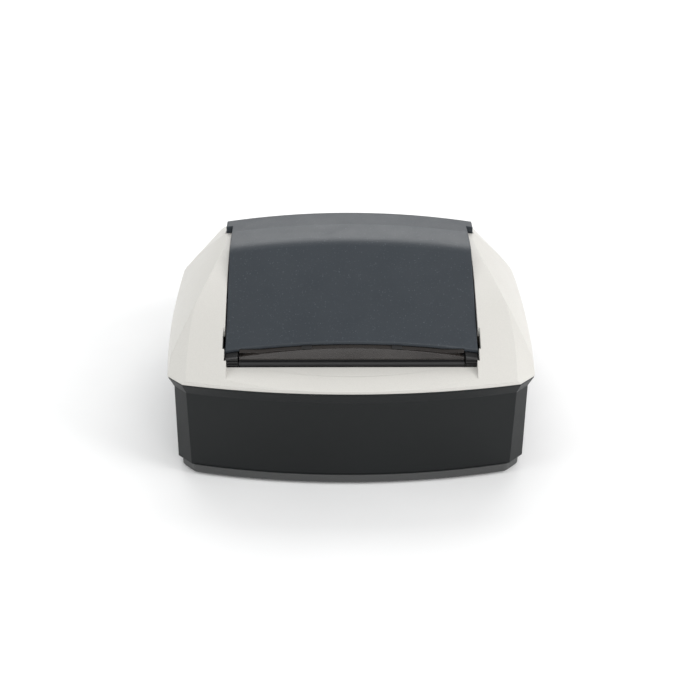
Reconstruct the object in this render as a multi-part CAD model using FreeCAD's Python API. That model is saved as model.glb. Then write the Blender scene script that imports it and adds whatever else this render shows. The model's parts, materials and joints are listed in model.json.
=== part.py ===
import FreeCAD, Part
import math
import os

# Compact automatic banknote tester, in millimetres.
# +Z up, origin on the surface it stands on, under the middle of the body.
# The note leaves towards -Y; the operator stands at +Y and opens the lid by its front edge.

V = FreeCAD.Vector
X_AXIS = V(1, 0, 0)
Y_AXIS = V(0, 1, 0)
Z_AXIS = V(0, 0, 1)
ORIGIN = V(0, 0, 0)

# ---------------------------------------------------------------- driving dimensions
HALF_W = 67.4             # widest half width, at the parting line
HALF_D = 62.7             # half depth, at the parting line
LIP_Z = 39.0              # parting line height in the middle of the front edge
CREST_Z = 73.8            # top of the lid
FRONT_BOW_R = 245.0       # plan radius of the front and rear edges
SIDE_BOW_R = 450.0        # plan radius of the sides
PARTING_CROWN_R = 3000.0  # the parting line drops towards both sides
CORNER_SUM = 114.6        # |x| + |y| along the cut front corners at the parting line
REAR_CUT_REACH = 73.2     # distance of the longer rear corner cuts from the middle
REAR_CUT_TURN = math.radians(20.0)    # plan angle between X and the way those cuts face
WALL = 2.2                # moulded wall thickness

FOOT_H = 0.8              # how far the rubber feet stand below the bottom plate
PLATE_TOP_Z = 4.2         # top of the bottom plate, where the base housing starts
BODY_TOP_Z = 34.3         # where the base body starts to flare out to the parting line

LID_HALF_W = 44.05        # lid half width in front
LID_REAR_HALF_W = 46.6    # lid half width behind the crest step
LID_STEP_Y = 6.0          # where the lid grows wider
LID_FRONT_Y = -48.1
LID_REAR_Y = 49.2
LID_CROWN_R = 300.0       # crown of the lid across the body
LID_WALL = 2.0
LID_GAP = 0.45            # gap between the lid and the shell beside it

NOTE_SLOPE = math.radians(22.5)   # slope of the note path at both mouths
PATH_R = 126.0                    # radius of the arch in the note path
MOUTH_Y = 51.3                    # the path's straight ends stop here
MOUTH_Z = 45.4
NOTE_CLEAR = 0.9                  # the upper guide stands this far above the note
LOWER_CLEAR = 0.3                 # the lower guide lies this far below it
GUIDE_HALF_W = 39.6
GUIDE_T = 1.2                      # plate thickness of the upper guide

FRONT_ROLLER_Y = -24.0    # where each roller pair meets the note
REAR_ROLLER_Y = 14.0
TYRE_R = 7.0
TYRE_PROUD = 0.3          # the tyres stand this far above the note's underside
TYRE_SPANS = [(-21.0, -11.0), (11.0, 21.0)]
IDLER_R = 3.2
IDLER_GAP = 0.3
SHAFT_R = 2.5
RUNNING_FIT = 0.05        # radial clearance of a shaft in its bush

SIDE_PLATE_X = 40.4       # inner face of the steel side plates
SIDE_PLATE_T = 1.0
STAGE_1_X = (42.4, 45.0)  # planes of the two gear stages and of the belt
STAGE_2_X = (45.7, 48.5)
BELT_X = (49.7, 52.7)
GEAR_MODULE = 0.6
PINION_TEETH = 10
WHEEL_TEETH = 32
SMALL_TEETH = 12
SHAFT_TEETH = 32
GEAR_SLACK = 0.12         # added to each centre distance
MOTOR_AXIS = (-8.0, 32.8)  # y, z
PULLEY_R = 5.0
BELT_T = 1.2

HINGE_AXIS = (45.0, 47.1)  # y, z of the pins the lid turns on
HINGE_PIN_R = 1.2
HINGE_EYE_R = 2.05         # rounded end of each side plate about the hinge axis
HINGE_COLLAR_R = 1.6

PANEL_Y = 28.0            # middle of the operator panel, on the rear slope of the lid
PANEL_SINK = 2.3          # the flat panel lies this far below the crowned surface
PANEL_X = (-36.0, 38.0)
PANEL_HALF_S = 8.5
KEY_X = [8.0, 19.0, 30.0]
KEY_SIZE = (8.0, 6.0)


# ---------------------------------------------------------------- helpers
def export(name, shape):
    shape.exportStep("parts/" + name + ".step")


def box(x0, y0, z0, x1, y1, z1):
    return Part.makeBox(x1 - x0, y1 - y0, z1 - z0, V(x0, y0, z0))


def cylinder_x(y, z, radius, x0, x1):
    return Part.makeCylinder(radius, x1 - x0, V(x0, y, z), X_AXIS)


def cylinder_z(x, y, radius, z0, z1):
    return Part.makeCylinder(radius, z1 - z0, V(x, y, z0), Z_AXIS)


def mirrored_x(shape):
    return shape.mirror(ORIGIN, X_AXIS)


def mirrored_y(shape):
    return shape.mirror(ORIGIN, Y_AXIS)


def both_sides(shape):
    return Part.makeCompound([shape, mirrored_x(shape)])


def prism_x(points_yz, x0, x1):
    """A solid whose outline lies in the YZ plane and runs from x0 to x1."""
    corners = [V(x0, y, z) for y, z in points_yz]
    wire = Part.makePolygon(corners + [corners[0]])
    return Part.Face(wire).extrude(V(x1 - x0, 0, 0))


def prism_y(points_xz, y0, y1):
    corners = [V(x, y0, z) for x, z in points_xz]
    wire = Part.makePolygon(corners + [corners[0]])
    return Part.Face(wire).extrude(V(0, y1 - y0, 0))


def prism_z(points_xy, z0, z1):
    corners = [V(x, y, z0) for x, y in points_xy]
    wire = Part.makePolygon(corners + [corners[0]])
    return Part.Face(wire).extrude(V(0, 0, z1 - z0))


def rounded_wire(corners):
    """A closed wire through corners given as (point, radius), with each corner rounded by an arc."""
    count = len(corners)
    starts, ends, mids = [], [], []
    for i, (point, radius) in enumerate(corners):
        before = (corners[i - 1][0] - point).normalize()
        after = (corners[(i + 1) % count][0] - point).normalize()
        half = before.getAngle(after) / 2
        if radius <= 0:
            starts.append(point)
            ends.append(point)
            mids.append(None)
            continue
        reach = radius / math.tan(half)
        centre = point + (before + after).normalize() * (radius / math.sin(half))
        starts.append(point + before * reach)
        ends.append(point + after * reach)
        mids.append(centre + (point - centre).normalize() * radius)
    edges = []
    for i in range(count):
        if mids[i] is not None:
            edges.append(Part.Arc(starts[i], mids[i], ends[i]).toShape())
        following = starts[(i + 1) % count]
        if (following - ends[i]).Length > 1e-6:
            edges.append(Part.LineSegment(ends[i], following).toShape())
    return Part.Wire(edges)


def common_of(shapes):
    result = shapes[0]
    for other in shapes[1:]:
        result = result.common(other)
    return result


# ---------------------------------------------------------------- plan outline of the body
def bow(radius, reach):
    """How far an arc of this radius has fallen away at this reach from its middle."""
    return radius - math.sqrt(radius ** 2 - reach ** 2)


def corner_points(half_w, half_d, corner_sum):
    """Ends of one cut corner: on the front arc and on the side arc, as positive (x, y)."""
    front_x = corner_sum - half_d
    side_y = corner_sum - half_w
    for _ in range(60):
        front_x = corner_sum - half_d + bow(FRONT_BOW_R, front_x)
        side_y = corner_sum - half_w + bow(SIDE_BOW_R, side_y)
    return (front_x, corner_sum - front_x), (corner_sum - side_y, side_y)


def rear_cut_points(half_w, half_d):
    """Ends of one rear corner cut: on the rear arc and on the side arc, as positive (x, y)."""
    reach = REAR_CUT_REACH - (HALF_W - half_w)
    across, along = math.cos(REAR_CUT_TURN), math.sin(REAR_CUT_TURN)
    rear_x = half_w
    side_y = 0.0
    for _ in range(60):
        rear_x = (reach - (half_d - bow(FRONT_BOW_R, rear_x)) * along) / across
        side_y = (reach - (half_w - bow(SIDE_BOW_R, side_y)) * across) / along
    return ((rear_x, half_d - bow(FRONT_BOW_R, rear_x)),
            (half_w - bow(SIDE_BOW_R, side_y), side_y))


def body_outline(half_w, half_d, corner_sum, z):
    (fx, fy), (sx, sy) = corner_points(half_w, half_d, corner_sum)
    (rx, ry), (tx, ty) = rear_cut_points(half_w, half_d)
    edges = [
        Part.Arc(V(-fx, -fy, z), V(0, -half_d, z), V(fx, -fy, z)).toShape(),
        Part.LineSegment(V(fx, -fy, z), V(sx, -sy, z)).toShape(),
        Part.Arc(V(sx, -sy, z), V(half_w, 0, z), V(tx, ty, z)).toShape(),
        Part.LineSegment(V(tx, ty, z), V(rx, ry, z)).toShape(),
        Part.Arc(V(rx, ry, z), V(0, half_d, z), V(-rx, ry, z)).toShape(),
        Part.LineSegment(V(-rx, ry, z), V(-tx, ty, z)).toShape(),
        Part.Arc(V(-tx, ty, z), V(-half_w, 0, z), V(-sx, -sy, z)).toShape(),
        Part.LineSegment(V(-sx, -sy, z), V(-fx, -fy, z)).toShape(),
    ]
    return Part.Wire(edges)


def body_prism(inset, z0, z1):
    outline = body_outline(HALF_W - inset, HALF_D - inset, CORNER_SUM - 1.414 * inset, z0)
    return Part.Face(outline).extrude(V(0, 0, z1 - z0))


def parting_tool(drop):
    """Everything below the crowned parting surface, lowered by drop."""
    top = LIP_Z - drop
    return Part.makeCylinder(PARTING_CROWN_R, 200, V(0, -100, top - PARTING_CROWN_R), Y_AXIS)


# ---------------------------------------------------------------- base
BASE_TOP = (65.3, 61.2, 112.2)        # half width, half depth, corner sum where the flare starts
BASE_BOTTOM = (65.7, 61.8, 112.6)     # the same at the bottom plate
FLARE_TOP_Z = LIP_Z + 2.7


def inset_outline(size, inset, z):
    half_w, half_d, corner_sum = size
    return body_outline(half_w - inset, half_d - inset, corner_sum - 1.414 * inset, z)


def base_form(inset):
    body = Part.makeLoft([inset_outline(BASE_BOTTOM, inset, PLATE_TOP_Z),
                          inset_outline(BASE_TOP, inset, BODY_TOP_Z)], True, True)
    flare_end_z = LIP_Z - 1.2
    flare = Part.makeLoft([inset_outline(BASE_TOP, inset, BODY_TOP_Z),
                           inset_outline((HALF_W - 0.25, HALF_D - 0.25, CORNER_SUM - 0.35),
                                         inset, flare_end_z)], True, True)
    rim = Part.Face(inset_outline((HALF_W - 0.25, HALF_D - 0.25, CORNER_SUM - 0.35),
                                  inset, flare_end_z)).extrude(V(0, 0, FLARE_TOP_Z - flare_end_z))
    return body.fuse([flare, rim])


def make_base_housing():
    outer = base_form(0).common(parting_tool(0.15))
    inner = base_form(WALL).fuse(body_prism(WALL + 0.4, PLATE_TOP_Z - 1, FLARE_TOP_Z))
    return outer.cut([inner] + side_cutters()).removeSplitter()


# ---------------------------------------------------------------- upper shell
# Wing profile behind the front edge: distance from the edge, height above the lip.
WING_RISE = [(0.0, 0.9), (20.0, 15.9), (45.4, 27.2), (62.7, 29.4)]
# Side profile at mid depth: half width and height above the lip.
SIDE_RISE = [(67.4, 0.0), (66.0, 4.8), (57.6, 17.2), (45.2, 29.8)]
# Corner facets: distance from the middle across the facet, height above the lip.
FACET_RISE = [(80.9, 0.0), (71.5, 10.5), (48.2, 25.0), (0.6, 45.0)]
FACET_TURN = 45.0         # plan angle between X and the direction across the facet
REAR_FACET_RISE = [(71.9, 0.4), (60.0, 15.5), (48.0, 27.0), (0.6, 65.0)]
REAR_FACET_TURN = 17.6


def wing_disc(inset):
    """A disc whose rim is the front wing profile; its axis is the centre of the front bow."""
    radius = FRONT_BOW_R - inset
    base_z = LIP_Z - 6
    rim = [V(radius - reach, 0, LIP_Z - inset + rise) for reach, rise in WING_RISE]
    edges = [
        Part.LineSegment(V(0, 0, base_z), V(radius, 0, base_z)).toShape(),
        Part.LineSegment(V(radius, 0, base_z), rim[0]).toShape(),
        Part.Arc(rim[0], rim[1], rim[2]).toShape(),
        Part.Arc(rim[2], V((rim[2].x + rim[3].x) / 2, 0, (rim[2].z + rim[3].z) / 2 + 0.5),
                 rim[3]).toShape(),
        Part.LineSegment(rim[3], V(0, 0, rim[3].z)).toShape(),
        Part.LineSegment(V(0, 0, rim[3].z), V(0, 0, base_z)).toShape(),
    ]
    disc = Part.Face(Part.Wire(edges)).revolve(ORIGIN, Z_AXIS, 360)
    return disc.translate(V(0, FRONT_BOW_R - HALF_D, 0))


def side_disc(inset):
    radius = SIDE_BOW_R - inset
    base_z = LIP_Z - 6
    rim = [V(radius - HALF_W + x, 0, LIP_Z - inset * 0.6 + rise) for x, rise in SIDE_RISE]
    edges = [
        Part.LineSegment(V(0, 0, base_z), V(rim[0].x, 0, base_z)).toShape(),
        Part.LineSegment(V(rim[0].x, 0, base_z), rim[0]).toShape(),
        Part.LineSegment(rim[0], rim[1]).toShape(),
        Part.Arc(rim[1], rim[2], rim[3]).toShape(),
        Part.LineSegment(rim[3], V(0, 0, rim[3].z)).toShape(),
        Part.LineSegment(V(0, 0, rim[3].z), V(0, 0, base_z)).toShape(),
    ]
    disc = Part.Face(Part.Wire(edges)).revolve(ORIGIN, Z_AXIS, 360)
    return disc.translate(V(HALF_W - SIDE_BOW_R, 0, 0))


def corner_cutter(inset, facet_rise, turn, drop):
    """Removes what lies outside a rounded facet that faces the plan angle turn, from drop
    below the foot of the facet upwards."""
    far = 130.0
    facet = [V(reach - inset, -90, LIP_Z - inset * 0.6 + rise) for reach, rise in facet_rise]
    floor_z = facet[0].z - drop
    corners = [facet[2], facet[3], V(far, -90, facet[3].z), V(far, -90, floor_z)]
    if drop > 0:
        corners.append(V(facet[0].x, -90, floor_z))
    corners.append(facet[0])
    edges = [Part.Arc(facet[0], facet[1], facet[2]).toShape()]
    edges += [Part.LineSegment(a, b).toShape() for a, b in zip(corners, corners[1:])]
    cutter = Part.Face(Part.Wire(edges)).extrude(V(0, 180, 0))
    return cutter.rotate(ORIGIN, Z_AXIS, turn)


def shell_form(inset):
    front = wing_disc(inset)
    side = side_disc(inset)
    form = common_of([body_prism(inset, LIP_Z - 6, LIP_Z + 40), front, mirrored_y(front),
                      side, mirrored_x(side)])
    cutters = [
        corner_cutter(inset, FACET_RISE, -FACET_TURN, 8.0),
        corner_cutter(inset, FACET_RISE, FACET_TURN, 8.0),
        corner_cutter(inset, REAR_FACET_RISE, REAR_FACET_TURN, 0.0),
    ]
    return form.cut(cutters + [mirrored_x(cutter) for cutter in cutters])


CHANNEL_HALF_W = 43.7
REAR_CHANNEL_HALF_W = 47.0
TRAY_T = 2.0


def tray_floor(mouth_y, mouth_z, half_w):
    """Sloping floor from just outside the note mouth down to the front edge of the body."""
    points = [(-HALF_D - 1, LIP_Z + 0.1), (mouth_y, mouth_z), (mouth_y, mouth_z - TRAY_T),
              (-HALF_D + 3, LIP_Z - TRAY_T - 1.4), (-HALF_D - 1, LIP_Z - TRAY_T - 1.4)]
    return prism_x(points, -half_w, half_w)


def above_tray(mouth_y, mouth_z, half_w):
    points = [(-HALF_D - 3, LIP_Z - 0.2), (mouth_y, mouth_z), (mouth_y + 2, mouth_z),
              (mouth_y + 2, 90), (-HALF_D - 3, 90)]
    return prism_x(points, -half_w, half_w)


def make_top_shell():
    outer = shell_form(0).cut(parting_tool(0))
    shell = outer.cut(shell_form(WALL))
    front_y = -51.6
    front_z = 43.2
    rear_y = -50.3
    rear_z = 43.9
    tray_wall = box(CHANNEL_HALF_W, -HALF_D - 1, LIP_Z - 4, CHANNEL_HALF_W + WALL, front_y + 2, 90)
    rear_wall = box(REAR_CHANNEL_HALF_W, -HALF_D - 1, LIP_Z - 4, REAR_CHANNEL_HALF_W + WALL,
                    rear_y + 1, 90)
    additions = [
        tray_floor(front_y, front_z, CHANNEL_HALF_W + WALL), tray_wall, mirrored_x(tray_wall),
        mirrored_y(tray_floor(rear_y, rear_z, REAR_CHANNEL_HALF_W + WALL)),
        mirrored_y(rear_wall), mirrored_y(mirrored_x(rear_wall)),
    ]
    trimmed = [piece.common(outer) for piece in additions]
    shell = shell.fuse(trimmed)
    openings = [
        above_tray(front_y, front_z, CHANNEL_HALF_W),
        mirrored_y(above_tray(rear_y, rear_z, REAR_CHANNEL_HALF_W)),
        box(-LID_HALF_W - LID_GAP, front_y, 30, LID_HALF_W + LID_GAP, LID_STEP_Y - 0.4, 90),
        box(-LID_REAR_HALF_W - LID_GAP, LID_STEP_Y - 0.4, 30,
            LID_REAR_HALF_W + LID_GAP, -rear_y, 90),
        both_sides(box(LID_HALF_W, TAB_Y[0] - 0.4, 43.3, LID_HALF_W + 1.1, TAB_Y[1] + 0.4, 90)),
    ]
    return shell.cut(openings).removeSplitter()


# ---------------------------------------------------------------- note path
PATH_TOP_Z = (MOUTH_Z + math.tan(NOTE_SLOPE) * (MOUTH_Y - PATH_R * math.sin(NOTE_SLOPE))
              + PATH_R * (1 - math.cos(NOTE_SLOPE)))
PATH_CENTRE_Z = PATH_TOP_Z - PATH_R


def path_point(y, offset):
    """The point over y on the arch of the note path, moved outwards along its normal."""
    rise = math.sqrt(PATH_R ** 2 - y ** 2)
    scale = (PATH_R + offset) / PATH_R
    return y * scale, PATH_CENTRE_Z + rise * scale


def path_line(offset, front_y, rear_y):
    """Arc from front_y to rear_y at this offset: start, middle and end points."""
    points = []
    for y in (front_y, (front_y + rear_y) / 2, rear_y):
        py, pz = path_point(y, offset)
        points.append(V(0, py, pz))
    return points


def guide_slab(low, high, front_y, rear_y, x0, x1):
    """A curved plate that follows the note path between two offsets."""
    below = path_line(low, front_y, rear_y)
    above = path_line(high, front_y, rear_y)
    edges = [
        Part.Arc(*below).toShape(),
        Part.LineSegment(below[2], above[2]).toShape(),
        Part.Arc(*reversed(above)).toShape(),
        Part.LineSegment(above[0], below[0]).toShape(),
    ]
    face = Part.Face(Part.Wire(edges))
    face.translate(V(x0, 0, 0))
    return face.extrude(V(x1 - x0, 0, 0))


FRONT_SHAFT = path_point(FRONT_ROLLER_Y, TYRE_PROUD - TYRE_R)
REAR_SHAFT = path_point(REAR_ROLLER_Y, TYRE_PROUD - TYRE_R)
FRONT_IDLER = path_point(FRONT_ROLLER_Y, TYRE_PROUD + IDLER_GAP + IDLER_R)
REAR_IDLER = path_point(REAR_ROLLER_Y, TYRE_PROUD + IDLER_GAP + IDLER_R)

SENSOR_Y = (-11.0, 0.5)
HEAD_Y = (2.0, 5.0)


def make_lower_guide():
    plate = guide_slab(-LOWER_CLEAR - 1.5, -LOWER_CLEAR, -49.4, 46.5, -GUIDE_HALF_W, GUIDE_HALF_W)
    front_bar = prism_x([(-51.2, 42.3), (-51.2, 44.2), (-50.7, 44.8), (-50.4, 44.3),
                         (-49.9, 44.3), (-49.6, 45.3), (-49.0, 45.4), (-48.6, 43.9),
                         (-48.6, 42.3)], -BLOCK_X[0] + 0.3, BLOCK_X[0] - 0.3)
    rib = guide_slab(-6.0, -LOWER_CLEAR - 1.5, -47.0, -34.0, GUIDE_HALF_W - 1.5, GUIDE_HALF_W)
    tabs = [guide_slab(-LOWER_CLEAR - 1.5, -LOWER_CLEAR, y0, y1, -SIDE_PLATE_X, SIDE_PLATE_X)
            for y0, y1 in ((-41.0, -34.0), (27.0, 37.0))]
    plate = plate.fuse([front_bar, rib, mirrored_x(rib)] + tabs)
    windows = []
    for x0, x1 in TYRE_SPANS:
        for y, z in (FRONT_SHAFT, REAR_SHAFT):
            windows.append(cylinder_x(y, z, TYRE_R + 0.8, x0 - 0.8, x1 + 0.8))
    windows.append(box(-37.6, SENSOR_Y[0] - 0.2, 50, 37.6, SENSOR_Y[1] + 0.2, 70))
    windows.append(box(-30.2, HEAD_Y[0] - 0.2, 50, 30.2, HEAD_Y[1] + 0.2, 70))
    return plate.cut(windows)


def make_upper_guide():
    plate = guide_slab(NOTE_CLEAR, NOTE_CLEAR + GUIDE_T, -35.8, 41.0, -GUIDE_HALF_W, GUIDE_HALF_W)
    windows = []
    for x0, x1 in TYRE_SPANS:
        for y, z in (FRONT_IDLER, REAR_IDLER):
            windows.append(cylinder_x(y, z, IDLER_R + 0.6, x0 - 0.6, x1 + 0.6))
    windows.append(box(-37.0, SENSOR_Y[0] + 1.7, 50, 37.0, SENSOR_Y[1] - 1.7, 70))
    return plate.cut(windows)


def make_image_sensor():
    """The lower sensor bar: a housing across the path with its window just below the note."""
    top = guide_slab(-9.0, -LOWER_CLEAR - 0.1, SENSOR_Y[0], SENSOR_Y[1], -37.4, 37.4)
    window_cut = guide_slab(-1.2, 1.0, SENSOR_Y[0] + 3, SENSOR_Y[1] - 3, -34, 34)
    head_ledge = guide_slab(-9.0, -5.5, SENSOR_Y[1], HEAD_Y[1] + 0.3, -30, 30)
    return top.cut(window_cut).fuse(head_ledge)


def make_sensor_window():
    return guide_slab(-1.2, -LOWER_CLEAR - 0.1, SENSOR_Y[0] + 3, SENSOR_Y[1] - 3, -34, 34)


def make_magnetic_heads():
    heads = []
    for i in range(6):
        x = -25.0 + 10.0 * i
        heads.append(guide_slab(-5.5, -LOWER_CLEAR, HEAD_Y[0], HEAD_Y[1], x - 3.2, x + 3.2))
    return Part.makeCompound(heads)


def make_platen():
    """White strip in the lid that the sensor bar looks at through the note."""
    return guide_slab(NOTE_CLEAR + 0.2, NOTE_CLEAR + 2.6, SENSOR_Y[0] + 2.1, SENSOR_Y[1] - 2.1,
                      -36.9, 36.9)


# ---------------------------------------------------------------- lid
LID_CREST_Y = 0.0
LID_CREASE = (-12.0, 73.2)
LID_REAR_CREASE = (12.0, 73.2)
LID_FRONT_Z = 51.5
LID_REAR_Z = 52.3
SLOPE_DROP = 2.3          # vertical thickness of the lid's sloping walls
CROWN_POINT = V(0, 0, CREST_Z - LID_CROWN_R)
CROWN_HALF_ANGLE = 12.0
LIP_PLATE = (0.7, 1.5)    # offsets of the smoked plate from the note path
LIP_HALF_W = 39.2
BLOCK_X = (39.7, 44.0)    # the solid end blocks either side of the smoked lip
TAB_Y = (-47.6, -41.6)
TAB_TOP_Z = 47.6
LUG_X = (42.9, 45.0)
HINGE_PIN_END_X = 44.4    # the pins stop inside the lugs
LID_BOARD_Z = 63.6        # underside of the small board under the lid's crest
LID_BOARD_T = 1.2
LID_POST_XY = [(31.0, -8.0), (-31.0, -8.0), (31.0, 6.0), (-31.0, 6.0)]
GUIDE_POST_XY = [(37.0, -32.0), (-37.0, -32.0), (37.0, 38.0), (-37.0, 38.0)]


def crowned(corners):
    """Turns an outline in the middle plane about the crown axis, so it arches across the body."""
    face = Part.Face(rounded_wire([(V(0, y, z), radius) for y, z, radius in corners]))
    face.rotate(CROWN_POINT, Y_AXIS, -CROWN_HALF_ANGLE)
    return face.revolve(CROWN_POINT, Y_AXIS, 2 * CROWN_HALF_ANGLE)


def lid_plan(inset):
    front = LID_HALF_W - inset
    rear = LID_REAR_HALF_W - inset
    step = LID_STEP_Y + inset
    far = 80
    right = [(front, -far), (front, step), (rear, step), (rear, far)]
    left = [(-x, y) for x, y in reversed(right)]
    return prism_z(right + left, 30, 95)


def lid_outer():
    body = crowned([
        (LID_FRONT_Y, 50.2, 0.3), (LID_FRONT_Y, LID_FRONT_Z, 0.7),
        (LID_CREASE[0], LID_CREASE[1], 9.0), (LID_CREST_Y, CREST_Z, 9.0),
        (LID_REAR_CREASE[0], LID_REAR_CREASE[1], 9.0),
        (LID_REAR_Y, LID_REAR_Z, 1.2), (LID_REAR_Y, 49.7, 0.3),
        (44.0, 48.5, 0), (24.0, 57.8, 0), (-24.0, 57.8, 0), (-44.0, 49.5, 0)])
    shoulder = prism_y([(43.4, 90), (43.9, CREST_Z - 0.2), (LID_REAR_HALF_W + 0.1, CREST_Z - 4.4),
                        (60, CREST_Z - 4.6), (60, 90)], -30, 60)
    return body.common(lid_plan(0)).cut([shoulder, mirrored_x(shoulder)])


def lid_inner():
    body = crowned([
        (-56.0, 30.0, 0), (-56.0, LID_FRONT_Z - SLOPE_DROP - 4.75, 0),
        (LID_CREASE[0] + 0.3, LID_CREASE[1] - SLOPE_DROP + 0.17, 7.0),
        (LID_CREST_Y, CREST_Z - 2.1, 7.0),
        (LID_REAR_CREASE[0] - 0.3, LID_REAR_CREASE[1] - SLOPE_DROP + 0.17, 7.0),
        (LID_REAR_Y - LID_WALL, LID_REAR_Z - 1.1, 0), (LID_REAR_Y - LID_WALL, 30.0, 0)])
    return body.common(lid_plan(LID_WALL))


REAR_SLOPE = math.degrees(math.atan2(LID_REAR_CREASE[1] - LID_REAR_Z,
                                     LID_REAR_Y - LID_REAR_CREASE[0]))
PANEL_Z = LID_REAR_Z + (LID_REAR_Y - PANEL_Y) * math.tan(math.radians(REAR_SLOPE))


def on_panel(shape):
    """Places a shape drawn flat (X across, Y down the slope, Z outwards) on the rear slope."""
    placed = shape.copy()
    placed.rotate(ORIGIN, X_AXIS, -REAR_SLOPE)
    placed.translate(V(0, PANEL_Y, PANEL_Z))
    return placed


def rounded_block(x0, y0, z0, x1, y1, z1, radius):
    block = box(x0, y0, z0, x1, y1, z1)
    upright = [edge for edge in block.Edges
               if abs(edge.Vertexes[0].X - edge.Vertexes[1].X) < 1e-6
               and abs(edge.Vertexes[0].Y - edge.Vertexes[1].Y) < 1e-6]
    return block.makeFillet(radius, upright)


def panel_block(margin, low, high):
    return rounded_block(PANEL_X[0] - margin, -PANEL_HALF_S - margin, low,
                         PANEL_X[1] + margin, PANEL_HALF_S + margin, high, 2.0 + margin)


def make_lid():
    lid = lid_outer().cut(lid_inner())
    y, z = HINGE_AXIS
    lug = cylinder_x(y, z, 3.3, *LUG_X).fuse(box(LUG_X[0], y - 3.3, z, LUG_X[1], y + 3.3, z + 5))
    lug = lug.common(lid_outer().fuse(lid_inner()))
    bore = cylinder_x(y, z, HINGE_PIN_R + RUNNING_FIT, LUG_X[0] - 1, HINGE_PIN_END_X + 0.3)
    lug = lug.cut(bore)
    posts = [cylinder_z(x, y, 1.6, LID_BOARD_Z + LID_BOARD_T, CREST_Z) for x, y in LID_POST_XY]
    for x, y in GUIDE_POST_XY:
        post = cylinder_z(x, y, 2.0, MOUTH_Z, CREST_Z)
        posts.append(post.cut(guide_slab(-20, NOTE_CLEAR + GUIDE_T, -45, 45, -50, 50)))
    posts = [post.common(lid_inner()) for post in posts]
    lid = lid.fuse([lug, mirrored_x(lug)] + posts)
    tab_window = box(40, TAB_Y[0] - 0.25, 38, 50, TAB_Y[1] + 0.25, TAB_TOP_Z + 0.25)
    cuts = [
        on_panel(panel_block(0.15, -12, 12)),
        guide_slab(-3.0, LIP_PLATE[1] + 0.05, -50.5, 0, -LIP_HALF_W, LIP_HALF_W),
        guide_slab(-3.0, NOTE_CLEAR + 1.3, 0, 52.0, -41.8, 41.8),
        tab_window, mirrored_x(tab_window),
    ]
    return lid.cut(cuts).removeSplitter()


def lip_section(x0, x1):
    """Fascia under the lid's front edge, with the ledge that closes it against the lid."""
    fascia = prism_x([(-51.4, 46.05), (-50.0, 46.65), (-46.0, 52.9), (-47.6, 52.9)], x0, x1)
    ledge = prism_x([(-51.4, 46.05), (-50.0, 46.65), (-45.5, 48.5), (-45.5, 53.3), (-51.4, 53.3)],
                    x0, x1)
    below = crowned([(-53, 37.3, 0), (-53, 49.6, 0), (-49.3, 49.6, 0.4), (-48.1, 50.15, 0),
                     (-46.4, 50.9, 0), (-45.6, 50.3, 0), (-45.6, 37.3, 0)])
    front = prism_x([(-51.4, 30), (-51.4, 46.05), (-48.2, 52.2), (-40, 52.2), (-40, 30)], x0, x1)
    return fascia.fuse(ledge).common(below).common(front)


def make_smoked_lip():
    plate = guide_slab(LIP_PLATE[0], LIP_PLATE[1], -48.9, -36.0, -LIP_HALF_W + 0.05,
                       LIP_HALF_W - 0.05)
    lip = lip_section(-LIP_HALF_W + 0.05, LIP_HALF_W - 0.05)
    throat = guide_slab(-6, LIP_PLATE[0], -56, -30, -60, 60)
    return lip.fuse(plate).cut([throat, make_lid()]).removeSplitter()


def make_lip_blocks():
    """Black end blocks of the lid's mouth with two grooves, and two clips on the smoked ledge."""
    outline = [(-51.4, 43.5), (-51.4, 44.0), (-50.9, 44.2), (-50.9, 44.4), (-51.4, 44.6),
               (-51.4, 45.2), (-50.9, 45.4), (-50.9, 45.6), (-51.4, 45.8), (-51.4, 51.3),
               (-48.0, 51.3), (-48.0, 43.5)]
    below = crowned([(-53, 37.3, 0), (-53, 49.6, 0), (-49.3, 49.6, 0.4), (-48.1, 50.15, 0),
                     (-47.9, 50.15, 0), (-47.9, 37.3, 0)])
    block = prism_x(outline, *BLOCK_X).common(below)
    root = box(BLOCK_X[0], -48.0, 44.3, 41.4, -45.0, 47.3).common(lid_inner())
    block = block.fuse(root).cut(make_lid())
    clips = []
    for x in (-15.7, 15.7):
        clip = crowned([(-49.6, 48.9, 0), (-49.6, 50.0, 0), (-48.15, 50.6, 0), (-48.15, 48.9, 0)])
        clips.append(clip.common(box(x - 1.8, -60, 40, x + 1.8, -40, 60)))
    clips = Part.makeCompound(clips).cut([make_lid(), make_smoked_lip()])
    return Part.makeCompound([block, mirrored_x(block)] + clips.Solids)


def make_latch():
    """Finger tab on the +X side: pressed inwards, its barb leaves the edge of the shell."""
    y0, y1 = TAB_Y
    body = box(42.5, y0, 42.9, LID_HALF_W + 0.65, y1, TAB_TOP_Z)
    recess = box(LID_HALF_W, y0 - 1, 41, LID_HALF_W + 2, y1 + 1, 45.5)
    wedge = prism_y([(LID_HALF_W, 47.7), (LID_HALF_W + 2, 46.1), (LID_HALF_W + 2, 53),
                     (LID_HALF_W, 53)], y0 - 1, y1 + 1)
    return body.cut([recess, wedge])


def make_hinge_pins():
    y, z = HINGE_AXIS
    pin = cylinder_x(y, z, HINGE_PIN_R, SIDE_PLATE_X, HINGE_PIN_END_X)
    collar = cylinder_x(y, z, HINGE_COLLAR_R, SIDE_PLATE_X + SIDE_PLATE_T, LUG_X[0] - 0.3)
    return both_sides(pin.fuse(collar))


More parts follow.
